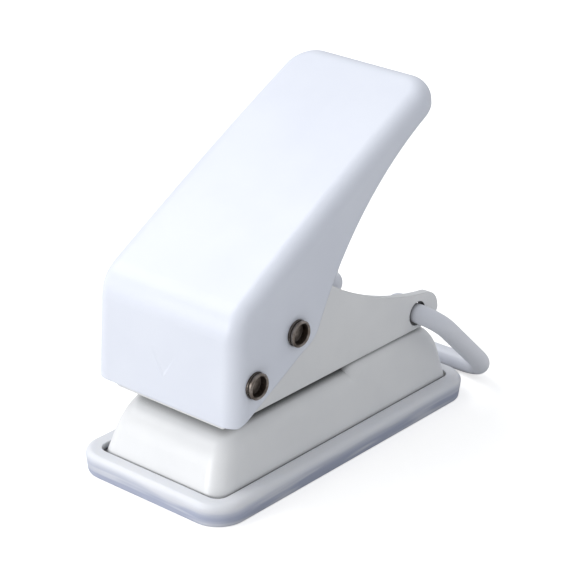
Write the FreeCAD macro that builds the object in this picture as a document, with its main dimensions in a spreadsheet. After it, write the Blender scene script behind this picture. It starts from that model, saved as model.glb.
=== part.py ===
"""Lever corner rounder for paper: sheet-steel base and bracket, moulded lever handle, chip tray.

Frame (mm): +Z up, +X across the width, -Y towards the front where the paper goes in.
The origin is the centre of the chip tray's underside, which stands on the table.

How it works: the lever turns on the front pin.  The second pin rides with the lever, through
curved slots in the bracket, and pushes the plunger and its cutter straight down through the
paper into the die.  A coil spring under the plunger lifts everything again.
"""
import FreeCAD, Part
import math
import os
import re
import Sketcher

V = FreeCAD.Vector
DOC = FreeCAD.newDocument("corner_rounder")

# alias, value (mm or degrees), what it drives
SIZES = [
    ("tray_half_x", 16.5, "chip tray half width at the table"),
    ("tray_half_y", 34.0, "chip tray half length at the table"),
    ("tray_height", 4.0, "chip tray height"),
    ("tray_draft", 5, "outward lean of the tray wall, degrees"),
    ("tray_corner", 5.4, "tray corner radius in plan"),
    ("tray_floor", 1.0, "tray floor thickness"),
    ("ledge_top", 1.6, "ledge that carries the base flange"),
    ("lip_bottom", 2.85, "underside of the tray's snap lip"),
    ("base_half_x", 13.65, "base skirt half width at the flange"),
    ("base_half_y", 31.4, "base skirt half length at the flange"),
    ("base_draft", 10.4, "inward lean of the base's sides and of its step, degrees"),
    ("front_lean", 21, "backward lean of the base's front, degrees"),
    ("front_round", 9.5, "rounding between the base's front and the paper floor"),
    ("rear_lean", 12.5, "forward lean of the base's rear, degrees"),
    ("rear_round", 7.8, "rounding between the base's rear and its raised top"),
    ("step_round", 2.5, "rounding of the step between the base's two levels"),
    ("base_corner", 3.2, "corner radius of the base's flange"),
    ("low_round", 3.6, "rounding of the low front part's corners and long top edges"),
    ("high_round", 2.2, "rounding of the raised rear's corners and long top edges"),
    ("sheet", 1.2, "base sheet thickness"),
    ("flange_out", 1.75, "how far the base flange stands out"),
    ("floor_z", 13.7, "top of the base under the paper"),
    ("plateau_z", 15.0, "top of the raised rear of the base, and the bracket's underside"),
    ("plateau_y", 2.0, "front of the raised rear, measured at flange level"),
    ("wall", 1.5, "bracket sheet thickness"),
    ("bracket_half", 12.1, "bracket half width outside"),
    ("bracket_front", -28.2, "front edge of the bracket"),
    ("hole_y", 22.7, "loop hole in the bracket's ear"),
    ("hole_z", 18.3, "loop hole height"),
    ("hole_dia", 4.5, "loop hole diameter"),
    ("pivot_y", -25.0, "front pin, the lever's pivot"),
    ("pivot_z", 23.1, "front pin height"),
    ("drive_y", -14.8, "rear pin, the one that drives the plunger, lever up"),
    ("drive_z", 28.75, "rear pin height, lever up"),
    ("pin_dia", 4.5, "outside of the pins"),
    ("pin_bore", 3.5, "bore in the pins' ends"),
    ("bore_deep", 1.5, "depth of those bores"),
    ("pin_near", 16.8, "pin end beside the lever's right wall"),
    ("pin_far", 15.9, "pin end beside the lever's left wall"),
    ("pin_play", 0.04, "radial running clearance on a pin"),
    ("swing", 18, "lever travel, degrees"),
    ("handle_half", 15.8, "lever half width at its open edge"),
    ("handle_draft", 0.9, "inward lean of the lever's sides, degrees"),
    ("handle_front", -29.9, "front face of the lever"),
    ("handle_bottom", 16.5, "lowest edge of the lever"),
    ("handle_round", 3.0, "rounding of the lever's edges"),
    ("crease_round", 7.0, "rounding between the lever's front and top"),
    ("tail_round", 5.6, "corner radius of the lever's tail"),
    ("skin_front", 1.4, "lever front wall thickness"),
    ("skin", 1.8, "lever wall thickness"),
    ("punch_y", -14.1, "centre of the plunger and cutter"),
    ("die_half_x", 6.6, "die boss half width, fitted in the base window"),
    ("corner_r", 5.0, "radius the cutter leaves on the sheet"),
    ("apex_y", -12.3, "where the two paper stops would meet"),
    ("cutter_half", 4.5, "cutter half width"),
    ("cutter_back", -11.4, "rear face of the cutter"),
    ("cutter_bottom", 15.3, "cutter's lower face, lever up"),
    ("cutter_top", 25.9, "top of the cutter inside the plunger"),
    ("die_gap", 0.05, "clearance between cutter and die"),
    ("slide_gap", 0.06, "clearance between cutter and punch guide"),
    ("guide_top", 18.5, "top of the punch guide"),
    ("seat_top", 18.9, "top of the spring seat washer"),
    ("spring_top", 25.4, "top of the spring, lever up"),
    ("spring_r", 7.05, "mean radius of the spring"),
    ("wire", 0.55, "spring wire diameter"),
    ("coils", 4, "turns of the spring"),
    ("loop_x", 16.7, "centre of the hang loop's legs"),
    ("loop_len", 24.0, "loop axis to the middle of its far bar"),
    ("loop_dia", 3.5, "loop section diameter"),
    ("loop_tilt", 43.2, "how far the loop hangs below level, degrees"),
]
NAMES = [row[0] for row in SIZES]
SHEET = None


# ---------------------------------------------------------------- sheet and expressions
def build_sheet():
    """Writes the driving dimensions into the document's spreadsheet."""
    global SHEET
    SHEET = DOC.addObject("Spreadsheet::Sheet", "Sizes")
    for i, (alias, value, note) in enumerate(SIZES, start=1):
        SHEET.set("A%d" % i, alias)
        SHEET.set("B%d" % i, str(value))
        SHEET.set("C%d" % i, note)
        SHEET.setAlias("B%d" % i, alias)
    DOC.recompute()


def ref(text):
    """A formula in sheet aliases, written so that any object can use it."""
    def named(match):
        word = match.group(0)
        return "Sizes." + word if word in NAMES else word
    return re.sub(r"[a-z_]+[a-z0-9_]*", named, str(text))


def size(text):
    """The present value of a formula in sheet aliases."""
    return float(SHEET.evalExpression(ref(text)))


def bind(obj, prop, text):
    """Ties a property to the sheet."""
    obj.setExpression(prop, ref(text))


# ---------------------------------------------------------------- sketches and features
def new_body(name):
    body = DOC.addObject("PartDesign::Body", name)
    body.Label = name
    return body


def new_sketch(body, name, plane, offset=None):
    """A sketch on one of the body's origin planes, lifted off it by offset."""
    sketch = body.newObject("Sketcher::SketchObject", name)
    support = [f for f in body.Origin.OriginFeatures if f.Role == plane][0]
    sketch.AttachmentSupport = [(support, "")]
    sketch.MapMode = "FlatFace"
    if offset is not None:
        bind(sketch, "AttachmentOffset.Base.z", offset)
    return sketch


def pin_down(sketch, geo, end, x, y):
    """Fixes a point of the sketch at (x, y), both formulas."""
    for kind, axis, text in (("DistanceX", -2, x), ("DistanceY", -1, y)):
        value = size(text)
        if abs(value) < 1e-9:
            sketch.addConstraint(Sketcher.Constraint("PointOnObject", geo, end, axis))
            continue
        k = sketch.addConstraint(Sketcher.Constraint(kind, -1, 1, geo, end, value))
        sketch.setExpression("Constraints[%d]" % k, ref(text))


def outline(sketch, path):
    """Closed outline.  Each entry is (x, y) or (x, y, r): r > 0 turns left on the way to the
    next point along an arc of that radius, r < 0 turns right."""
    count = len(path)
    points = [V(size(p[0]), size(p[1]), 0) for p in path]
    ends = []
    for i, entry in enumerate(path):
        a, b = points[i], points[(i + 1) % count]
        if len(entry) == 2:
            geo = sketch.addGeometry(Part.LineSegment(a, b), False)
            ends.append((geo, 1, 2))
            continue
        radius = size(entry[2])
        chord = b - a
        side = V(-chord.y, chord.x, 0).normalize()
        if radius < 0:
            side = side * -1
        reach = math.sqrt(max(radius ** 2 - (chord.Length / 2) ** 2, 0))
        centre = (a + b) * 0.5 + side * reach
        start, stop = (a, b) if radius > 0 else (b, a)
        turn = [math.atan2(p.y - centre.y, p.x - centre.x) for p in (start, stop)]
        circle = Part.Circle(centre, V(0, 0, 1), abs(radius))
        geo = sketch.addGeometry(Part.ArcOfCircle(circle, turn[0], turn[1]), False)
        ends.append((geo, 1, 2) if radius > 0 else (geo, 2, 1))
    for i in range(count):
        here, after = ends[i], ends[(i + 1) % count]
        sketch.addConstraint(Sketcher.Constraint("Coincident", here[0], here[2], after[0], after[1]))
    for i, entry in enumerate(path):
        geo, after = ends[i][0], path[(i + 1) % count]
        pin_down(sketch, geo, ends[i][1], entry[0], entry[1])
        if len(entry) == 2:
            continue
        step = points[(i + 1) % count] - points[i]
        if abs(step.Length - 2 * abs(size(entry[2]))) < 1e-6:
            along = 0 if abs(step.y) > abs(step.x) else 1
            centre_on(sketch, geo, along, "((%s) + (%s)) / 2" % (entry[along], after[along]))
        else:
            k = sketch.addConstraint(Sketcher.Constraint("Radius", geo, abs(size(entry[2]))))
            sketch.setExpression("Constraints[%d]" % k, ref("abs(%s)" % entry[2]))


def centre_on(sketch, geo, along, text):
    """Holds a half circle's centre at one coordinate: along is 0 for x, 1 for y."""
    kind, axis = (("DistanceX", -2), ("DistanceY", -1))[along]
    value = size(text)
    if abs(value) < 1e-9:
        sketch.addConstraint(Sketcher.Constraint("PointOnObject", geo, 3, axis))
        return
    k = sketch.addConstraint(Sketcher.Constraint(kind, -1, 1, geo, 3, value))
    sketch.setExpression("Constraints[%d]" % k, ref(text))


def circle(sketch, x, y, dia):
    """A circle of the given diameter centred on (x, y)."""
    geo = sketch.addGeometry(Part.Circle(V(size(x), size(y), 0), V(0, 0, 1), size(dia) / 2), False)
    pin_down(sketch, geo, 3, x, y)
    k = sketch.addConstraint(Sketcher.Constraint("Diameter", geo, size(dia)))
    sketch.setExpression("Constraints[%d]" % k, ref(dia))


def box_path(half_x, y0, y1):
    return [("-(%s)" % half_x, y0), (half_x, y0), (half_x, y1), ("-(%s)" % half_x, y1)]


def pad(body, sketch, length, taper=None, both=False):
    feature = body.newObject("PartDesign::Pad", sketch.Name + "_pad")
    feature.Profile = sketch
    bind(feature, "Length", length)
    feature.Midplane = both
    if taper is not None:
        bind(feature, "TaperAngle", taper)
    sketch.Visibility = False
    DOC.recompute()
    return feature


def pocket(body, sketch, length, both=False, up=False):
    """Cuts the sketch's outline away and makes sure that it removed something."""
    before = body.Shape.Volume
    feature = body.newObject("PartDesign::Pocket", sketch.Name + "_cut")
    feature.Profile = sketch
    bind(feature, "Length", length)
    feature.Midplane = both
    feature.Reversed = up
    sketch.Visibility = False
    DOC.recompute()
    if body.Shape.Volume > before - 1e-6:
        raise RuntimeError(sketch.Name + " cuts nothing")
    return feature


def round_edges(body, base, radius, wanted):
    """Fillets the edges of base for which wanted(edge) holds."""
    picked = ["Edge%d" % (i + 1) for i, e in enumerate(base.Shape.Edges) if wanted(e)]
    if not picked:
        raise RuntimeError("no edge to round on " + base.Name)
    feature = body.newObject("PartDesign::Fillet", base.Name + "_round")
    feature.Base = (base, picked)
    bind(feature, "Radius", radius)
    DOC.recompute()
    return feature


def level_edge(z):
    """Test for an edge that lies wholly at height z."""
    return lambda e: abs(e.BoundBox.ZMin - z) < 0.01 and abs(e.BoundBox.ZMax - z) < 0.01


def long_edge(z):
    """Test for an edge that runs front to rear at height z."""
    return lambda e: level_edge(z)(e) and e.BoundBox.YLength > 3


def climbing_edge(e):
    return e.BoundBox.ZLength > 0.5


def boolean(kind, name, *parts):
    """Part::Cut of two objects or Part::MultiFuse of several."""
    feature = DOC.addObject("Part::" + kind, name)
    feature.Label = name
    if kind == "MultiFuse":
        feature.Shapes = list(parts)
    else:
        feature.Base, feature.Tool = parts
    DOC.recompute()
    return feature


def drafted_block(name, half_x, y0, y1, z0, z1, lean, corner, top=None, bottom=None):
    """Rectangular block whose sides lean by the angle lean, with rounded corners and edges."""
    body = new_body(name)
    sketch = new_sketch(body, name + "_plan", "XY_Plane", z0)
    outline(sketch, box_path(half_x, y0, y1))
    shape = pad(body, sketch, "%s - (%s)" % (z1, z0), lean)
    shape = round_edges(body, shape, corner, climbing_edge)
    if top is not None:
        shape = round_edges(body, shape, top, level_edge(size(z1)))
    if bottom is not None:
        round_edges(body, shape, bottom, level_edge(size(z0)))
    return body


def new_plane(body, name, z):
    plane = body.newObject("PartDesign::Plane", name)
    support = [f for f in body.Origin.OriginFeatures if f.Role == "XY_Plane"][0]
    plane.AttachmentSupport = [(support, "")]
    plane.MapMode = "FlatFace"
    bind(plane, "AttachmentOffset.Base.z", z)
    plane.Visibility = False
    DOC.recompute()
    return plane


def side_solid(name, half, path, lean, level):
    """Side view padded across the width, with both sides leaning inwards above level."""
    body = new_body(name)
    side = new_sketch(body, name + "_side", "YZ_Plane")
    outline(side, path)
    shape = pad(body, side, "2 * (%s)" % half, both=True)
    draft = body.newObject("PartDesign::Draft", name + "_draft")
    flats = ["Face%d" % (i + 1) for i, f in enumerate(shape.Shape.Faces)
             if abs(abs(f.CenterOfMass.x) - size(half)) < 0.01]
    draft.Base = (shape, flats)
    bind(draft, "Angle", lean)
    draft.NeutralPlane = (new_plane(body, name + "_neutral", level), [""])
    DOC.recompute()
    return body, draft


def turned(name, profile):
    """Body of revolution about Z from (radius, z) points on the XZ plane."""
    body = new_body(name)
    sketch = new_sketch(body, name + "_half", "XZ_Plane")
    outline(sketch, profile)
    feature = body.newObject("PartDesign::Revolution", name + "_turned")
    feature.Profile = sketch
    feature.ReferenceAxis = (sketch, ["V_Axis"])
    feature.Angle = 360
    sketch.Visibility = False
    DOC.recompute()
    return body


def place(obj, x, y, z, axis=None, angle=0):
    """Moves a piece made at its own origin to where it belongs."""
    if axis is not None:
        obj.Placement = FreeCAD.Placement(V(0, 0, 0), FreeCAD.Rotation(axis, angle))
    for letter, text in (("x", x), ("y", y), ("z", z)):
        bind(obj, "Placement.Base." + letter, text)
    DOC.recompute()
    return obj


def cylinder(name, dia, length, x, y, z):
    """Upright cylinder standing on (x, y, z)."""
    obj = DOC.addObject("Part::Cylinder", name)
    obj.Label = name
    bind(obj, "Radius", "(%s) / 2" % dia)
    bind(obj, "Height", length)
    return place(obj, x, y, z)


def box(name, half_x, y0, y1, z0, z1):
    """Block centred across the width."""
    obj = DOC.addObject("Part::Box", name)
    obj.Label = name
    bind(obj, "Length", "2 * (%s)" % half_x)
    bind(obj, "Width", "(%s) - (%s)" % (y1, y0))
    bind(obj, "Height", "(%s) - (%s)" % (z1, z0))
    return place(obj, "-(%s)" % half_x, y0, z0)


# ---------------------------------------------------------------- shared outlines
TANGENT = "corner_r * 0.70711"              # where the cut's arc meets the sheet's two edges
ARC_Y = "apex_y - corner_r * 1.41421"       # centre of the rounded corner


def cutter_path(gap):
    """The cutter in plan, grown by gap: a hollow arc in front between two 45 degree leads."""
    wide = "(cutter_half + %s)" % gap
    near = "(%s + %s * 0.70711)" % (TANGENT, gap)
    reach = "(%s) + %s - %s * 0.70711" % (ARC_Y, TANGENT, gap)
    lead = "apex_y - cutter_half - %s * 2.41421" % gap
    back = "cutter_back + %s" % gap
    return [
        (wide, back), ("-" + wide, back), ("-" + wide, lead),
        ("-" + near, reach, "-(corner_r + %s)" % gap), (near, reach), (wide, lead),
    ]


RIVET_SPOTS = [(-6.5, -4.4), (6.5, -4.4), (-6.5, 14.0), (6.5, 14.0)]
GUIDE_SPOTS = [(-7.9, -20.0), (7.9, -20.0), (-7.9, -8.2), (7.9, -8.2)]
DIE_SPOTS = [(-7.9, -14.1), (7.9, -14.1)]


def holes_at(body, name, spots, dia, z, depth):
    """Round holes of one size, cut downwards from height z."""
    sketch = new_sketch(body, name, "XY_Plane", z)
    for x, y in spots:
        circle(sketch, x, y, dia)
    return pocket(body, sketch, depth)


# ---------------------------------------------------------------- tray and base
def make_tray():
    tray = drafted_block("chip_tray", "tray_half_x", "-tray_half_y", "tray_half_y", "0",
                         "tray_height", "tray_draft", "tray_corner", "1.1", "0.3")
    hollows = [
        ("lip_opening", "base_half_x + 0.12", "base_half_y + 0.12", "high_round",
         "tray_height", "lip_bottom"),
        ("flange_groove", "base_half_x + flange_out + 0.15", "base_half_y + flange_out + 0.15",
         "base_corner + 0.3", "lip_bottom", "ledge_top"),
        ("chip_cavity", "base_half_x + 0.3", "base_half_y + 0.3", "base_corner + 0.3",
         "ledge_top", "tray_floor"),
    ]
    for name, half_x, half_y, corner, top, bottom in hollows:
        sketch = new_sketch(tray, name, "XY_Plane", top)
        rounded_rect(sketch, half_x, half_y, corner)
        pocket(tray, sketch, "%s - %s" % (top, bottom))
    return tray


def rounded_rect(sketch, half_x, half_y, corner):
    """Rectangle about the origin with quarter-round corners."""
    in_x, in_y = "(%s - (%s))" % (half_x, corner), "(%s - (%s))" % (half_y, corner)
    out_x, out_y = "(%s)" % half_x, "(%s)" % half_y
    outline(sketch, [
        ("-" + in_x, "-" + out_y), (in_x, "-" + out_y, corner),
        (out_x, "-" + in_y), (out_x, in_y, corner),
        (in_x, out_y), ("-" + in_x, out_y, corner),
        ("-" + out_x, in_y), ("-" + out_x, "-" + in_y, corner),
    ])


def rounded_end(y, z, top, lean, radius, way):
    """Lower and upper end of the arc from a wall that leans inwards from (y, z) to a level top."""
    reach = "(%s) * tan((90 - (%s)) / 2 * 1 deg)" % (radius, lean)
    corner = "(%s) + %d * ((%s) - (%s)) * tan((%s) * 1 deg)" % (y, way, top, z, lean)
    lower = ("%s - %d * %s * sin((%s) * 1 deg)" % (corner, way, reach, lean),
             "(%s) - %s * cos((%s) * 1 deg)" % (top, reach, lean))
    return lower, ("%s + %d * %s" % (corner, way, reach), top)


def base_blocks(name, foot, inset, skin):
    """Low front and raised rear of the pressed base; inset and skin shrink them to its inside."""
    half, end = "base_half_x - (%s)" % inset, "(base_half_y - (%s))" % inset
    blocks = []
    for part, start, top, lean, turn, side_turn in (
            ("low", "-" + end, "floor_z", "front_lean", "front_round", "low_round"),
            ("high", "plateau_y + " + skin, "plateau_z", "base_draft", "step_round",
             "high_round")):
        top, turn = top + " - " + skin, turn + " - " + skin
        lower, upper = rounded_end(start, foot, top, lean, turn, 1)
        rear = [("8", foot), ("8", top)]
        if part == "high":
            turn_rear = "rear_round - " + skin
            down, up = rounded_end(end, foot, top, "rear_lean", turn_rear, -1)
            rear = [(end, foot), down + (turn_rear,), up]
        path = [(start, foot)] + rear + [upper + (turn,), lower]
        body, shape = side_solid(name + "_" + part, half, path, "base_draft", foot)
        round_edges(body, shape, side_turn if skin == "0" else "1.2", long_edge(size(top)))
        blocks.append(body)
    return blocks


def make_base():
    """Pressed base: sloping skirt, low front part under the paper, raised rear, bottom flange."""
    outside = base_blocks("base", "ledge_top + sheet", "0", "0")
    inside = base_blocks("base_inside", "ledge_top", "sheet - 0.2", "sheet")
    flange = new_body("base_flange")
    sketch = new_sketch(flange, "flange_plan", "XY_Plane", "ledge_top")
    rounded_rect(sketch, "base_half_x + flange_out", "base_half_y + flange_out", "base_corner")
    pad(flange, sketch, "sheet")
    window = box("die_window", "die_half_x", "punch_y - 5.5", "punch_y + 5.5", "10", "20")
    drills = [cylinder("base_drill_%d" % i, "2.0", "8", x, y, "10")
              for i, (x, y) in enumerate(RIVET_SPOTS)]
    drills += [cylinder("die_drill_%d" % i, "1.6", "8", x, y, "10")
               for i, (x, y) in enumerate(DIE_SPOTS)]
    solid = boolean("MultiFuse", "base_solid", flange, *outside)
    waste = boolean("MultiFuse", "base_waste", window, *inside, *drills)
    return boolean("Cut", "base_plate", solid, waste)


def make_die():
    """Hardened die: boss flush with the paper floor, flange under it, hole the cutter enters."""
    body = new_body("die_plate")
    sketch = new_sketch(body, "die_flange", "XY_Plane", "floor_z - sheet - 1.5")
    outline(sketch, box_path("9.2", "punch_y - 6.5", "punch_y + 7.2"))
    pad(body, sketch, "1.5")
    sketch = new_sketch(body, "die_boss", "XY_Plane", "floor_z - sheet")
    outline(sketch, box_path("die_half_x - 0.04", "punch_y - 5.46", "punch_y + 5.46"))
    pad(body, sketch, "sheet")
    sketch = new_sketch(body, "die_opening", "XY_Plane", "floor_z")
    outline(sketch, cutter_path("die_gap"))
    pocket(body, sketch, "sheet + 1.5")
    holes_at(body, "die_rivet_holes", DIE_SPOTS, "1.6", "floor_z - sheet", "1.5")
    return body


def make_paper_guide():
    """Fence plate that fills the throat behind the cutter: two 45 degree stops for the sheet."""
    body = new_body("paper_guide")
    sketch = new_sketch(body, "guide_plan", "XY_Plane", "floor_z")
    window, edge, rear = "(cutter_half + 0.2)", "8.8", "plateau_y + 1.2"
    outline(sketch, [
        ("-" + edge, "apex_y - " + edge), ("-" + window, "apex_y - " + window),
        ("-" + window, "cutter_back + 0.2"), (window, "cutter_back + 0.2"),
        (window, "apex_y - " + window), (edge, "apex_y - " + edge),
        (edge, rear), ("-" + edge, rear),
    ])
    pad(body, sketch, "plateau_z - floor_z")
    holes_at(body, "guide_rivet_holes", RIVET_SPOTS[:2], "2.0", "plateau_z", "1.3")
    return body


# ---------------------------------------------------------------- bracket
def slot_point(radius, degrees):
    """Point at a radius and angle about the pivot, as a pair of formulas on the YZ plane."""
    return ("pivot_y + (%s) * cos((%s) * 1 deg)" % (radius, degrees),
            "pivot_z + (%s) * sin((%s) * 1 deg)" % (radius, degrees))


def make_bracket():
    """U-shaped sheet bracket: floor riveted to the base, two walls with slots, ears at the rear."""
    body = new_body("bracket")
    side = new_sketch(body, "bracket_side", "YZ_Plane")
    outline(side, [
        ("bracket_front", "plateau_z"), ("25.8", "plateau_z", 3.6),
        ("hole_y + 6", "hole_z - 0.7", 4), ("hole_y + 2", "hole_z + 3.3", -66),
        ("-3.2", "32.8", 4), ("-6.4", "33.5"), ("drive_y", "33.5", 4.75),
        ("drive_y - 3.6", "drive_z + 3.1"), ("pivot_y - 1.6", "pivot_z + 2.77", 3.2),
        ("bracket_front", "pivot_z"),
    ])
    shape = pad(body, side, "2 * bracket_half", both=True)
    shape = round_edges(
        body, shape, "0.7",
        lambda e: abs(abs(e.BoundBox.Center.x) - size("bracket_half")) < 0.01
        and level_edge(size("plateau_z"))(e))
    channel = new_sketch(body, "channel", "XZ_Plane")
    outline(channel, [
        ("-(bracket_half - wall - 0.5)", "plateau_z + wall"),
        ("bracket_half - wall - 0.5", "plateau_z + wall", 0.5),
        ("bracket_half - wall", "plateau_z + wall + 0.5"), ("bracket_half - wall", "40"),
        ("-(bracket_half - wall)", "40"),
        ("-(bracket_half - wall)", "plateau_z + wall + 0.5", 0.5),
    ])
    pocket(body, channel, "90", both=True)
    bores = new_sketch(body, "wall_bores", "YZ_Plane")
    circle(bores, "hole_y", "hole_z", "hole_dia")
    circle(bores, "pivot_y", "pivot_z", "pin_dia")
    pocket(body, bores, "40", both=True)
    slot = new_sketch(body, "drive_slots", "YZ_Plane")
    reach, half = "11.66", "2.6"
    low, high = "(29 - swing - 0.6)", "29.6"
    inner, outer = "(%s - %s)" % (reach, half), "(%s + %s)" % (reach, half)
    outline(slot, [
        slot_point(inner, low) + (half,), slot_point(outer, low) + (outer,),
        slot_point(outer, high) + (half,), slot_point(inner, high) + ("-" + inner,),
    ])
    pocket(body, slot, "40", both=True)
    opening = new_sketch(body, "cutter_opening", "XY_Plane", "plateau_z + wall")
    outline(opening, box_path("cutter_half + 0.3", "apex_y - cutter_half - 0.6",
                              "cutter_back + 0.3"))
    pocket(body, opening, "wall")
    holes_at(body, "frame_rivet_holes", RIVET_SPOTS, "2.0", "plateau_z + wall", "wall")
    holes_at(body, "punch_guide_holes", GUIDE_SPOTS, "1.6", "plateau_z + wall", "wall")
    rear = new_sketch(body, "floor_end", "XY_Plane", "plateau_z + wall")
    outline(rear, box_path("bracket_half - wall - 1.2", "20.0", "40"))
    pocket(body, rear, "wall")
    return body


# ---------------------------------------------------------------- fasteners
def rivet(name, x, y, z0, z1, shank, head=0, low_head=0):
    """Rivet with its shank from z0 to z1, a domed head above and a flat one below if given."""
    tall, top = 0.55, "(%s) - (%s)" % (z1, z0)
    profile = [("0", "0")]
    if low_head:
        profile = [("0", -tall), ("%s / 2" % low_head, -tall), ("%s / 2" % low_head, "0")]
    profile += [("%s / 2" % shank, "0"), ("%s / 2" % shank, top)]
    if head:
        crown = "%s + %s" % (top, tall)
        profile += [("%s / 2" % head, top), ("%s / 4" % head, crown), ("0", crown)]
    else:
        profile.append(("0", top))
    return place(turned(name, profile), x, y, z0)


def make_fasteners():
    pieces = []
    for i, (x, y) in enumerate(RIVET_SPOTS, start=1):
        under = "floor_z - sheet" if y < 0 else "plateau_z - sheet"
        pieces.append(rivet("frame_rivet_%d" % i, x, y, under, "plateau_z + wall", 2.0, 3.6, 3.6))
    for i, (x, y) in enumerate(GUIDE_SPOTS, start=1):
        pieces.append(rivet("guide_rivet_%d" % i, x, y, "plateau_z", "guide_top", 1.6, head=2.6))
    for i, (x, y) in enumerate(DIE_SPOTS, start=1):
        pieces.append(rivet("die_rivet_%d" % i, x, y, "floor_z - sheet - 1.5", "floor_z", 1.6,
                            low_head=2.6))
    return pieces


# ---------------------------------------------------------------- punch train
def make_punch_guide():
    body = new_body("punch_guide")
    sketch = new_sketch(body, "block_plan", "XY_Plane", "plateau_z + wall")
    outline(sketch, box_path("9.3", "punch_y - 7.6", "punch_y + 7.6"))
    pad(body, sketch, "guide_top - plateau_z - wall")
    sketch = new_sketch(body, "cutter_way", "XY_Plane", "guide_top")
    outline(sketch, cutter_path("slide_gap"))
    pocket(body, sketch, "guide_top - plateau_z - wall")
    holes_at(body, "block_rivet_holes", GUIDE_SPOTS, "1.6", "guide_top",
             "guide_top - plateau_z - wall")
    return body


def make_spring_seat():
    inner, outer = "spring_r - 0.35", "spring_r + 0.65"
    body = turned("spring_seat", [(inner, "0"), (outer, "0"), (outer, "seat_top - guide_top"),
                                  (inner, "seat_top - guide_top")])
    return place(body, "0", "punch_y", "guide_top")


def make_spring():
    """Open coil spring standing on its seat."""
    body = new_body("return_spring")
    sketch = new_sketch(body, "wire_section", "XZ_Plane")
    circle(sketch, "spring_r", "wire / 2 + 0.01", "wire")
    coil = body.newObject("PartDesign::AdditiveHelix", "coil")
    coil.Profile = sketch
    coil.ReferenceAxis = (sketch, ["V_Axis"])
    coil.Mode = "height-turns-angle"
    bind(coil, "Height", "spring_top - seat_top - wire - 0.02")
    bind(coil, "Turns", "coils")
    sketch.Visibility = False
    DOC.recompute()
    return place(body, "0", "punch_y", "seat_top")


def make_cutter():
    body = new_body("cutter")
    sketch = new_sketch(body, "cutter_plan", "XY_Plane", "cutter_bottom")
    outline(sketch, cutter_path("0"))
    pad(body, sketch, "cutter_top - cutter_bottom")
    cross_hole(body, "cutter_pin_hole")
    return body


def cross_hole(body, name):
    """Hole across the width for the pin that holds the cutter in the plunger."""
    sketch = new_sketch(body, name, "YZ_Plane")
    circle(sketch, "-12.9", "24.2", "1.4")
    return pocket(body, sketch, "30", both=True)


def make_plunger():
    """Plunger: socket for the cutter, flange on the spring, block with a slot for the drive pin."""
    body = new_body("plunger")
    sketch = new_sketch(body, "socket_plan", "XY_Plane", "23")
    outline(sketch, box_path("5.35", "punch_y - 3.6", "punch_y + 3.6"))
    pad(body, sketch, "spring_top + 0.01 - 23")
    sketch = new_sketch(body, "spring_flange", "XY_Plane", "spring_top")
    circle(sketch, "0", "punch_y", "2 * spring_r + 1")
    pad(body, sketch, "0.8")
    sketch = new_sketch(body, "block_plan", "XY_Plane", "spring_top + 0.8")
    outline(sketch, box_path("6", "punch_y - 5.1", "punch_y + 4.9"))
    shape = pad(body, sketch, "32 - spring_top - 0.8")
    round_edges(body, shape, "1", level_edge(32.0))
    sketch = new_sketch(body, "cutter_socket", "XY_Plane", "23")
    outline(sketch, cutter_path("0"))
    pocket(body, sketch, "cutter_top - 23", up=True)
    slot = new_sketch(body, "drive_slot", "YZ_Plane")
    half = "(pin_dia / 2 + 0.15)"
    outline(slot, [
        ("drive_y - 0.2", "drive_z - " + half), ("drive_y + 1.55", "drive_z - " + half, half),
        ("drive_y + 1.55", "drive_z + " + half), ("drive_y - 0.2", "drive_z + " + half, half),
    ])
    pocket(body, slot, "30", both=True)
    cross_hole(body, "plunger_pin_hole")
    return body


def make_cutter_pin():
    obj = DOC.addObject("Part::Cylinder", "cutter_pin")
    obj.Label = "cutter_pin"
    bind(obj, "Radius", "0.7")
    bind(obj, "Height", "10.7")
    return place(obj, "-5.35", "-12.9", "24.2", V(0, 1, 0), 90)


# ---------------------------------------------------------------- pins and washers
def make_pin(name, y, z):
    """Pin bored a little way in from each end, with rolled rims and a shallow groove by each."""
    radius, bore, neck = "(pin_dia / 2)", "(pin_bore / 2)", "(pin_dia / 2 - 0.2)"
    half = [("0", "(bore_deep + 0.5)"), (bore, "bore_deep"), (bore, 0.25),
            ("(pin_dia / 2 - 0.25)", 0), (radius, 0.25), (radius, 0.55), (neck, 0.55),
            (neck, 0.85), (radius, 0.85)]
    profile = [(r, "-(pin_far - %s)" % step) for r, step in half]
    profile += [(r, "pin_near - %s" % step) for r, step in reversed(half)]
    return place(turned(name, profile), "0", y, z, V(0, 1, 0), 90)


def make_washer(name, side, y, z):
    """Spacer between the bracket's wall and the lever's side."""
    body = turned(name, [("pin_dia / 2 + 0.01", "-0.6"), ("3.5", "-0.6"), ("3.5", "0.6"),
                         ("pin_dia / 2 + 0.01", "0.6")])
    return place(body, "%d * (bracket_half + 0.8)" % side, y, z, V(0, 1, 0), 90)


# ---------------------------------------------------------------- lever handle
TOP_FRONT = ("handle_front + 0.6", "34.9")     # where the lever's top face meets its front
TOP_REAR = ("23.2", "63.85")                   # where the top face meets the tail
TOP_ARCH = 720                                 # radius of the top's slight arch, front to rear


def front_crease(e):
    """Test for the edge across the lever where its top face meets its front."""
    return e.BoundBox.XLength > 15 and abs(e.BoundBox.ZMin - size(TOP_FRONT[1])) < 0.3


def tail_corner(e):
    return e.BoundBox.ZMin > 55 and e.BoundBox.ZLength > 3 and e.BoundBox.YLength < 1


def front_corner(e):
    box_ = e.BoundBox
    return box_.ZLength > 9 and box_.YLength < 2 and box_.Center.y < -20


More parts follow.
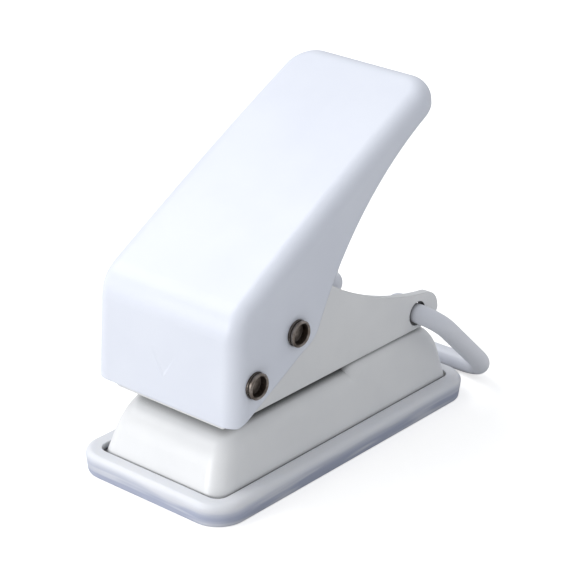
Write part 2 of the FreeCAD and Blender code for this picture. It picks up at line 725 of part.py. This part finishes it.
def make_handle():
    """Moulded lever: an open-bottomed shell that straddles the bracket."""
    outer, shape = side_solid("handle_outside", "handle_half", [
        ("handle_front", "handle_bottom"), ("-28.6", "handle_bottom"), ("-13", "24.9", 6),
        ("-9", "28.2", -62), ("23.6", "59.2"), TOP_REAR + (TOP_ARCH,), TOP_FRONT,
    ], "handle_draft", "handle_bottom")
    shape = round_edges(outer, shape, "crease_round", front_crease)
    shape = round_edges(outer, shape, "tail_round", tail_corner)
    round_edges(outer, shape, "handle_round", front_corner)    # runs on round the whole top
    inner, shape = side_solid("handle_inside", "handle_half - skin", [
        ("handle_front + skin_front", "0"), ("0", "0"), ("17", "55.6"), ("17.6", "58.02"),
        ("handle_front + skin_front", "33.6"),
    ], "handle_draft", "handle_bottom")
    round_edges(inner, shape, "1.2", lambda e: e.BoundBox.ZLength > 15 and e.BoundBox.ZMax > 57
                and e.BoundBox.YLength > 40)
    bores = []
    for name, y, z, play in (("pivot_bore", "pivot_y", "pivot_z", "pin_play"),
                             ("drive_bore", "drive_y", "drive_z", "0")):
        bore = DOC.addObject("Part::Cylinder", name)
        bind(bore, "Radius", "pin_dia / 2 + " + play)
        bind(bore, "Height", "50")
        bores.append(place(bore, "-25", y, z, V(0, 1, 0), 90))
    waste = boolean("MultiFuse", "handle_waste", inner, make_arrow(), *bores)
    return boolean("Cut", "handle", outer, waste)


def make_arrow():
    """Tool for the shallow, soft-sided triangle in the lever's front, pointing at the throat."""
    body = new_body("arrow_cut")
    sketch = new_sketch(body, "arrow", "XZ_Plane", "-handle_front - 0.3")
    outline(sketch, [("0", "21.8"), ("3.6", "26.8"), ("-3.6", "26.8")])
    pad(body, sketch, "0.6", taper="72")
    return body


# ---------------------------------------------------------------- hang loop
STUB_END = 8.3        # where the loop's stubs stop, inside the bracket's ears
STUB_TURN = 4.2       # bend between a stub and its leg
BAR_TURN = 6.8        # bend between a leg and the far bar


def loop_line(body):
    """Centre line of the loop, laid out flat: stub, leg, far bar, leg, stub."""
    spine = new_sketch(body, "loop_line", "XY_Plane")
    leg, length = size("loop_x"), size("loop_len")
    points = [
        V(-STUB_END, 0, 0), V(-leg + STUB_TURN, 0, 0), V(-leg, STUB_TURN, 0),
        V(-leg, length - BAR_TURN, 0), V(-leg + BAR_TURN, length, 0),
    ]
    points += [V(-p.x, p.y, 0) for p in reversed(points)]
    stub_centre = V(leg - STUB_TURN, STUB_TURN, 0)
    bar_centre = V(leg - BAR_TURN, length - BAR_TURN, 0)
    bends = {1: (stub_centre, -1, STUB_TURN), 3: (bar_centre, -1, BAR_TURN),
             5: (bar_centre, 1, BAR_TURN), 7: (stub_centre, 1, STUB_TURN)}
    for i, (a, b) in enumerate(zip(points, points[1:])):
        if i not in bends:
            spine.addGeometry(Part.LineSegment(a, b), False)
            continue
        centre, side, radius = bends[i]
        centre = V(side * centre.x, centre.y, 0)
        middle = centre + ((a + b) * 0.5 - centre).normalize() * radius
        spine.addGeometry(Part.Arc(a, middle, b), False)
    return spine


def make_loop():
    """Moulded bail: round section, two stubs through the bracket's ears, knobs inside them."""
    body = new_body("hang_loop")
    spine = loop_line(body)
    ring = new_sketch(body, "loop_section", "YZ_Plane", -STUB_END)
    circle(ring, "0", "0", "loop_dia")
    pipe = body.newObject("PartDesign::AdditivePipe", "loop_sweep")
    pipe.Profile = ring
    pipe.Spine = (spine, [])
    spine.Visibility = ring.Visibility = False
    DOC.recompute()
    for side in (-1, 1):
        knob = body.newObject("PartDesign::AdditiveSphere", "knob_%d" % (side + 2))
        bind(knob, "Radius", "2.45")
        origin = [f for f in body.Origin.OriginFeatures if f.Role == "YZ_Plane"][0]
        knob.AttachmentSupport = [(origin, "")]
        knob.MapMode = "FlatFace"
        knob.AttachmentOffset = FreeCAD.Placement(V(0, 0, side * 7.9), FreeCAD.Rotation())
        DOC.recompute()
    return place(body, "0", "hole_y", "hole_z", V(1, 0, 0), -size("loop_tilt"))


# ---------------------------------------------------------------- assembly
def build():
    build_sheet()
    pieces = [make_tray(), make_base(), make_die(), make_paper_guide(), make_bracket()]
    pieces += make_fasteners()
    pieces += [make_punch_guide(), make_spring_seat(), make_spring(), make_cutter(),
               make_plunger(), make_cutter_pin()]
    pieces.append(make_pin("pivot_pin", "pivot_y", "pivot_z"))
    pieces.append(make_pin("drive_pin", "drive_y", "drive_z"))
    for side, word in ((-1, "left"), (1, "right")):
        pieces.append(make_washer("pivot_washer_" + word, side, "pivot_y", "pivot_z"))
        pieces.append(make_washer("drive_washer_" + word, side, "drive_y", "drive_z"))
    pieces += [make_handle(), make_loop()]
    return pieces


def check(pieces):
    """Stops the build if any object is in error or any piece isn't one sound solid."""
    DOC.recompute()
    for obj in DOC.Objects:
        if "Invalid" in obj.State or "Error" in obj.State:
            raise RuntimeError("%s is in state %s" % (obj.Name, obj.State))
    for obj in pieces:
        if obj.Shape.isNull() or not obj.Shape.isValid():
            raise RuntimeError(obj.Label + " has no valid shape")


def export(pieces):
    os.makedirs("parts", exist_ok=True)
    for obj in pieces:
        obj.Shape.exportStep(os.path.join("parts", obj.Label + ".step"))


PIECES = build()
check(PIECES)
export(PIECES)
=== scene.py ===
"""Looks of the corner rounder: camera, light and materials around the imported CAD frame."""

import math

import bpy
from mathutils import Matrix, Vector


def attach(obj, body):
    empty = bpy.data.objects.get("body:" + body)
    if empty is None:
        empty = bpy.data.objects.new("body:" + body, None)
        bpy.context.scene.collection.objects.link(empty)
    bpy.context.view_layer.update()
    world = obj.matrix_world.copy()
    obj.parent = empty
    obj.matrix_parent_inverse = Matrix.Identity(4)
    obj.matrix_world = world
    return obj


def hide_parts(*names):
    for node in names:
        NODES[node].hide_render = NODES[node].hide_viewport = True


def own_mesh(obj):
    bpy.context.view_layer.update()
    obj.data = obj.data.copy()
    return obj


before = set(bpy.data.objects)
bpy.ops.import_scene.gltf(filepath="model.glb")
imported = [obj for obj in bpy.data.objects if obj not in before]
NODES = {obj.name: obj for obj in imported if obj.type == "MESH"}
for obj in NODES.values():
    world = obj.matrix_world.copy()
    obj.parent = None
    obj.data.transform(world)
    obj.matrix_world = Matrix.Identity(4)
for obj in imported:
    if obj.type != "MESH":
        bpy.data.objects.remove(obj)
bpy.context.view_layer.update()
MM = 0.001

# where the camera stands: degrees, metres and millimetres
CAMERA_AZIMUTH, CAMERA_ELEVATION, CAMERA_ROLL = 39.718, 24.101, 1.054
CAMERA_DISTANCE, CAMERA_RIGHT, CAMERA_DOWN = 0.37338, 0.000941, 0.002696
CAMERA_LENS, CAMERA_SENSOR = 137.5, 36
LOOK_AT = Vector((0, 0, 0.030))

LIGHT_AIM, LIGHT_DISTANCE = Vector((0, 0, 0.02)), 0.9
FLOOR_HALF = 3
FLOOR_WHITE, FLOOR_GLOW = (0.58, 0.58, 0.58, 1), 0.66
SKY, SKY_STRENGTH = (0.95, 0.97, 1.0, 1), 0.60


# ---------------------------------------------------------------- camera and light
def view_axis(azimuth, elevation):
    """Unit vector from the object towards a viewer; azimuth 0 is the front, 90 the +X side."""
    a, e = math.radians(azimuth), math.radians(elevation)
    return Vector((math.sin(a) * math.cos(e), -math.cos(a) * math.cos(e), math.sin(e)))


def make_camera():
    """Long lens from the front right, a little above, rolled by one degree."""
    azimuth, roll = math.radians(CAMERA_AZIMUTH), math.radians(CAMERA_ROLL)
    back = view_axis(CAMERA_AZIMUTH, CAMERA_ELEVATION)
    level = Vector((math.cos(azimuth), math.sin(azimuth), 0))
    rise = back.cross(level)
    right = level * math.cos(roll) + rise * math.sin(roll)
    up = rise * math.cos(roll) - level * math.sin(roll)
    data = bpy.data.cameras.new("camera")
    data.sensor_width = CAMERA_SENSOR
    data.lens = CAMERA_LENS
    data.clip_start, data.clip_end = 0.01, 20
    camera = bpy.data.objects.new("camera", data)
    camera.matrix_world = Matrix((
        (right.x, up.x, back.x, 0), (right.y, up.y, back.y, 0), (right.z, up.z, back.z, 0),
        (0, 0, 0, 1)))
    camera.location = (LOOK_AT + CAMERA_DISTANCE * back + CAMERA_RIGHT * right
                       - CAMERA_DOWN * up)
    bpy.context.scene.collection.objects.link(camera)
    bpy.context.scene.camera = camera


def area_light(name, azimuth, elevation, size, power):
    """A disc light that looks at the object from that side."""
    back = view_axis(azimuth, elevation)
    data = bpy.data.lights.new(name, "AREA")
    data.shape, data.size = "DISK", size
    data.energy = power
    light = bpy.data.objects.new(name, data)
    light.location = LIGHT_AIM + back * LIGHT_DISTANCE
    light.rotation_euler = (-back).to_track_quat("-Z", "Y").to_euler()
    bpy.context.scene.collection.objects.link(light)


def make_floor():
    """White floor with a faint glow of its own, which doesn't reach the object."""
    mesh = bpy.data.meshes.new("floor")
    corners = [(-1, -1), (1, -1), (1, 1), (-1, 1)]
    mesh.from_pydata([(x * FLOOR_HALF, y * FLOOR_HALF, 0) for x, y in corners], [],
                     [(0, 1, 2, 3)])
    floor = bpy.data.objects.new("floor", mesh)
    bpy.context.scene.collection.objects.link(floor)
    material = bpy.data.materials.new("stage_white")
    material.use_nodes = True
    shader = material.node_tree.nodes["Principled BSDF"]
    shader.inputs["Base Color"].default_value = FLOOR_WHITE
    shader.inputs["Roughness"].default_value = 0.9
    shader.inputs["Specular IOR Level"].default_value = 0.1
    shader.inputs["Emission Color"].default_value = (1, 1, 1, 1)
    shader.inputs["Emission Strength"].default_value = FLOOR_GLOW
    mesh.materials.append(material)
    only_itself = bpy.data.collections.new("lit_by_floor")
    only_itself.objects.link(floor)
    floor.light_linking.receiver_collection = only_itself


def make_stage():
    """White floor under a pale, even sky, with two large soft lights from the left."""
    make_floor()
    world = bpy.data.worlds.new("studio")
    world.use_nodes = True
    background = world.node_tree.nodes["Background"]
    background.inputs["Color"].default_value = SKY
    background.inputs["Strength"].default_value = SKY_STRENGTH
    bpy.context.scene.world = world
    bpy.context.scene.view_settings.view_transform = "Standard"
    area_light("key", -66, 50, size=0.7, power=3.3)
    area_light("front", -20, 16, size=0.5, power=2.7)


# ---------------------------------------------------------------- materials
class Surface:
    """A Principled material whose textures are laid out in the object's own millimetres."""

    def __init__(self, name):
        self.material = bpy.data.materials.new(name)
        self.material.use_nodes = True
        self.tree = self.material.node_tree
        self.shader = self.tree.nodes["Principled BSDF"]
        self.place = self.node("ShaderNodeTexCoord").outputs["Object"]
        self.facing = None

    def node(self, kind, **values):
        """A node with its properties or, for names with a capital, its inputs set."""
        made = self.tree.nodes.new(kind)
        for key, value in values.items():
            target = key.replace("_", " ")
            if target in made.inputs:
                made.inputs[target].default_value = value
            else:
                setattr(made, key, value)
        return made

    def link(self, source, target):
        self.tree.links.new(source, target)

    def set(self, **values):
        """Constant values on the shader's own sockets."""
        for key, value in values.items():
            self.shader.inputs[key.replace("_", " ")].default_value = value

    def noise(self, grain, detail=2.0, stretch=(1, 1, 1), seed=0.0):
        """Noise with features about grain millimetres across."""
        spot = self.node("ShaderNodeMapping", Scale=stretch, Location=(seed, seed * 0.7, -seed))
        self.link(self.place, spot.inputs["Vector"])
        made = self.node("ShaderNodeTexNoise", Scale=1 / (grain * MM), Detail=detail)
        self.link(spot.outputs["Vector"], made.inputs["Vector"])
        return made.outputs["Fac"]

    def range(self, source, low, high, to_low, to_high):
        """Source between low and high, stretched to run from to_low to to_high."""
        made = self.node("ShaderNodeMapRange", From_Min=low, From_Max=high,
                         To_Min=to_low, To_Max=to_high)
        self.link(source, made.inputs["Value"])
        return made.outputs["Result"]

    def mix(self, factor, first, second):
        """Colour between first and second; either is a colour or a socket."""
        made = self.node("ShaderNodeMix", data_type="RGBA")
        self.link(factor, made.inputs["Factor"])
        for value, socket in ((first, made.inputs[6]), (second, made.inputs[7])):
            if isinstance(value, tuple):
                socket.default_value = (*value, 1)
            else:
                self.link(value, socket)
        return made.outputs[2]

    def multiply(self, first, second):
        made = self.node("ShaderNodeMath", operation="MULTIPLY")
        self.link(first, made.inputs[0])
        self.link(second, made.inputs[1])
        return made.outputs[0]

    def edges(self, radius, seed=0.0):
        """Softens sharp edges in the normal; gives back how near each point is to one."""
        soft = self.node("ShaderNodeBevel", samples=4, Radius=radius * MM)
        self.facing = soft.outputs["Normal"]
        true = self.node("ShaderNodeNewGeometry").outputs["Normal"]
        dot = self.node("ShaderNodeVectorMath", operation="DOT_PRODUCT")
        self.link(self.facing, dot.inputs[0])
        self.link(true, dot.inputs[1])
        near = self.range(dot.outputs["Value"], 0.98, 0.78, 0.0, 1.0)
        patchy = self.range(self.noise(2.2, 3.0, seed=seed), 0.42, 0.62, 0.1, 1.0)
        return self.multiply(near, patchy)

    def bump(self, height, depth, strength=1.0):
        """Relief depth millimetres high, laid over whatever relief is there already."""
        made = self.node("ShaderNodeBump", Strength=strength, Distance=depth * MM)
        self.link(height, made.inputs["Height"])
        if self.facing is not None:
            self.link(self.facing, made.inputs["Normal"])
        self.facing = made.outputs["Normal"]

    def height(self, low, high):
        """0 below low, 1 above high, both in millimetres over the table."""
        parts = self.node("ShaderNodeSeparateXYZ")
        self.link(self.place, parts.inputs["Vector"])
        return self.range(parts.outputs["Z"], low * MM, high * MM, 0.0, 1.0)

    def painted_gap_shade(self, reach, darkest, closed=0.15, opened=0.75):
        """Painted shade in gaps: a brightness factor for the base colour that falls off in gaps
        narrower
        than reach millimetres: darkest where the open share of the sky is under closed, 1 where
        it is over opened."""
        open_sky = self.node("ShaderNodeAmbientOcclusion", samples=16, Distance=reach * MM)
        return self.range(open_sky.outputs["AO"], closed, opened, darkest, 1.0)

    def darken(self, colour, factor):
        """Colour times a brightness factor."""
        made = self.node("ShaderNodeVectorMath", operation="SCALE")
        self.link(colour, made.inputs[0])
        self.link(factor, made.inputs["Scale"])
        return made.outputs["Vector"]

    def finish(self, colour, roughness):
        self.link(colour, self.shader.inputs["Base Color"])
        self.link(roughness, self.shader.inputs["Roughness"])
        if self.facing is not None:
            self.link(self.facing, self.shader.inputs["Normal"])
        return self.material


def moulded_plastic(name, colour, shade, seed, rough=(0.29, 0.37)):
    """Cool white injection moulding: fine grain, a faint cloudiness, corners rubbed paler."""
    s = Surface(name)
    s.set(IOR=1.5, Coat_Weight=0.08, Coat_Roughness=0.18)
    worn = s.edges(0.25, seed)
    s.bump(s.noise(26, 1.0, seed=seed), 0.05, 0.6)
    s.bump(s.noise(0.35, 2.0, seed=seed + 3), 0.004, 0.5)
    cloud = s.range(s.noise(14, 3.0, seed=seed + 1), 0.35, 0.65, 0.0, 1.0)
    pale = tuple(min(1.0, c * 1.05) for c in colour)
    base = s.mix(worn, s.mix(cloud, shade, colour), pale)
    # painted shade: the plastic's colour darkens to 0.45 in narrow gaps and under overhangs
    base = s.darken(base, s.painted_gap_shade(2.5, 0.45))
    gloss = s.range(s.noise(11, 1.0, seed=seed + 2), 0.3, 0.7, *rough)
    return s.finish(base, gloss)


def white_paint(name, colour, shade, seed):
    """Baked enamel on pressed steel: slight orange peel, edges where the coat draws thin."""
    s = Surface(name)
    s.set(IOR=1.5, Coat_Weight=0.25, Coat_Roughness=0.12)
    worn = s.edges(0.22, seed)
    s.bump(s.noise(1.1, 2.0, seed=seed), 0.010, 0.7)
    s.bump(s.noise(18, 1.0, seed=seed + 3), 0.05, 0.5)
    cloud = s.range(s.noise(9, 3.0, seed=seed + 1), 0.35, 0.65, 0.0, 1.0)
    thin = tuple(c * 0.86 for c in colour)
    base = s.mix(worn, s.mix(cloud, shade, colour), thin)
    # painted shade: the enamel's colour darkens almost to black in narrow gaps, such as under the
    # bracket
    base = s.darken(base, s.painted_gap_shade(4.0, 0.05, 0.2, 0.7))
    gloss = s.range(s.noise(10, 1.0, seed=seed + 2), 0.3, 0.7, 0.31, 0.39)
    return s.finish(base, gloss)


def frosted_plastic(name, colour, low_wall_shade, seed):
    """Translucent lavender polypropylene with a satin skin: pale at the rim, and darkened by
    painted shade towards the bottom of the wall.
    """
    s = Surface(name)
    s.set(IOR=1.49, Transmission_Weight=0.12, Subsurface_Weight=0.25, Subsurface_Scale=0.0015,
          Subsurface_Radius=(0.9, 0.95, 1.1))
    worn = s.edges(0.2, seed)
    s.bump(s.noise(0.5, 1.0, seed=seed), 0.005, 0.5)
    s.bump(s.noise(9, 1.0, (1, 1, 2), seed=seed + 3), 0.08, 0.6)
    streaks = s.noise(14, 1.0, (1, 1, 14), seed=seed + 1)
    # painted shade: the wall's colour darkens from 3.6 mm down to 1.6 mm over the table
    body = s.mix(s.height(1.6, 3.6), low_wall_shade, colour)
    body = s.mix(s.range(streaks, 0.45, 0.65, 0.0, 0.55), body, (0.93, 0.94, 0.99))
    pale = tuple(min(1.0, c * 1.05) for c in colour)
    base = s.mix(worn, body, pale)
    gloss = s.range(s.noise(12, 1.0, seed=seed + 2), 0.3, 0.7, 0.29, 0.35)
    return s.finish(base, gloss)


def bare_metal(name, colour, shade, rough, seed, stretch=(1, 1, 1)):
    """Bare or plated steel: directional scratches, a mottled film, bright edges."""
    s = Surface(name)
    s.set(Metallic=1.0)
    worn = s.edges(0.12, seed)
    s.bump(s.noise(0.7, 4.0, stretch, seed), 0.008, 0.7)
    film = s.range(s.noise(1.8, 4.0, seed=seed + 1), 0.35, 0.65, 0.0, 1.0)
    bright = tuple(min(1.0, c * 1.5) for c in colour)
    base = s.mix(worn, s.mix(film, shade, colour), bright)
    # painted shade: the steel's colour darkens in bores and narrow gaps
    base = s.darken(base, s.painted_gap_shade(1.6, 0.12, 0.2, 0.9))
    gloss = s.range(s.noise(0.9, 4.0, stretch, seed + 2), 0.3, 0.7, rough, rough * 1.5)
    return s.finish(base, gloss)


def make_materials():
    """Every CAD node's finish, by the first part of its name."""
    lever = moulded_plastic("lever_plastic", (0.785, 0.815, 0.895), (0.76, 0.79, 0.875), 1.0)
    loop = moulded_plastic("loop_plastic", (0.83, 0.845, 0.90), (0.79, 0.81, 0.87), 5.0)
    paint = white_paint("white_enamel", (0.86, 0.865, 0.87), (0.83, 0.836, 0.845), 2.0)
    # the darker tray colour is painted shade for the bottom of the tray's wall
    tray = frosted_plastic("tray_plastic", (0.90, 0.92, 0.98), (0.49, 0.53, 0.67), 3.0)
    pin = bare_metal("pin_steel", (0.36, 0.32, 0.29), (0.16, 0.13, 0.11), 0.29, 4.0, (9, 1, 1))
    tool = bare_metal("tool_steel", (0.52, 0.51, 0.50), (0.40, 0.39, 0.38), 0.31, 6.0, (1, 1, 6))
    zinc = bare_metal("zinc_steel", (0.66, 0.67, 0.68), (0.54, 0.55, 0.56), 0.34, 7.0)
    wire = bare_metal("spring_wire", (0.42, 0.41, 0.40), (0.30, 0.29, 0.28), 0.30, 8.0, (1, 1, 5))
    nylon = moulded_plastic("nylon", (0.74, 0.73, 0.68), (0.70, 0.69, 0.64), 9.0, (0.40, 0.52))
    block = moulded_plastic("plunger_plastic", (0.76, 0.77, 0.80), (0.72, 0.73, 0.77), 10.0)
    return {"handle": lever, "hang_loop": loop, "base_plate": paint, "bracket": paint,
            "paper_guide": paint, "chip_tray": tray, "pivot_pin": pin, "drive_pin": pin,
            "cutter": tool, "die_plate": tool, "punch_guide": zinc, "spring_seat": zinc,
            "return_spring": wire, "plunger": block, "cutter_pin": tool,
            "pivot_washer": nylon, "drive_washer": nylon, "frame_rivet": zinc,
            "guide_rivet": zinc, "die_rivet": zinc}


def dress(materials):
    """Gives each CAD node the finish listed under the longest match for its name."""
    for name, piece in NODES.items():
        keys = [k for k in materials if name == k or name.startswith(k + "_")]
        material = materials[max(keys, key=len)]
        if not piece.material_slots:
            piece.data.materials.append(material)
        for place in piece.material_slots:
            place.material = material


# ---------------------------------------------------------------- spring
def make_spring():
    """A copy of the rigid spring's mesh with data of its own, attached to the frame; the rigid
    one is hidden.
    """
    rigid = NODES["return_spring"]
    coil = bpy.data.objects.new("spring_coil", rigid.data.copy())
    coil.matrix_world = rigid.matrix_world.copy()
    bpy.context.scene.collection.objects.link(coil)
    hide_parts("return_spring")
    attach(coil, "frame")
    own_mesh(coil)


make_camera()
make_stage()
dress(make_materials())
make_spring()
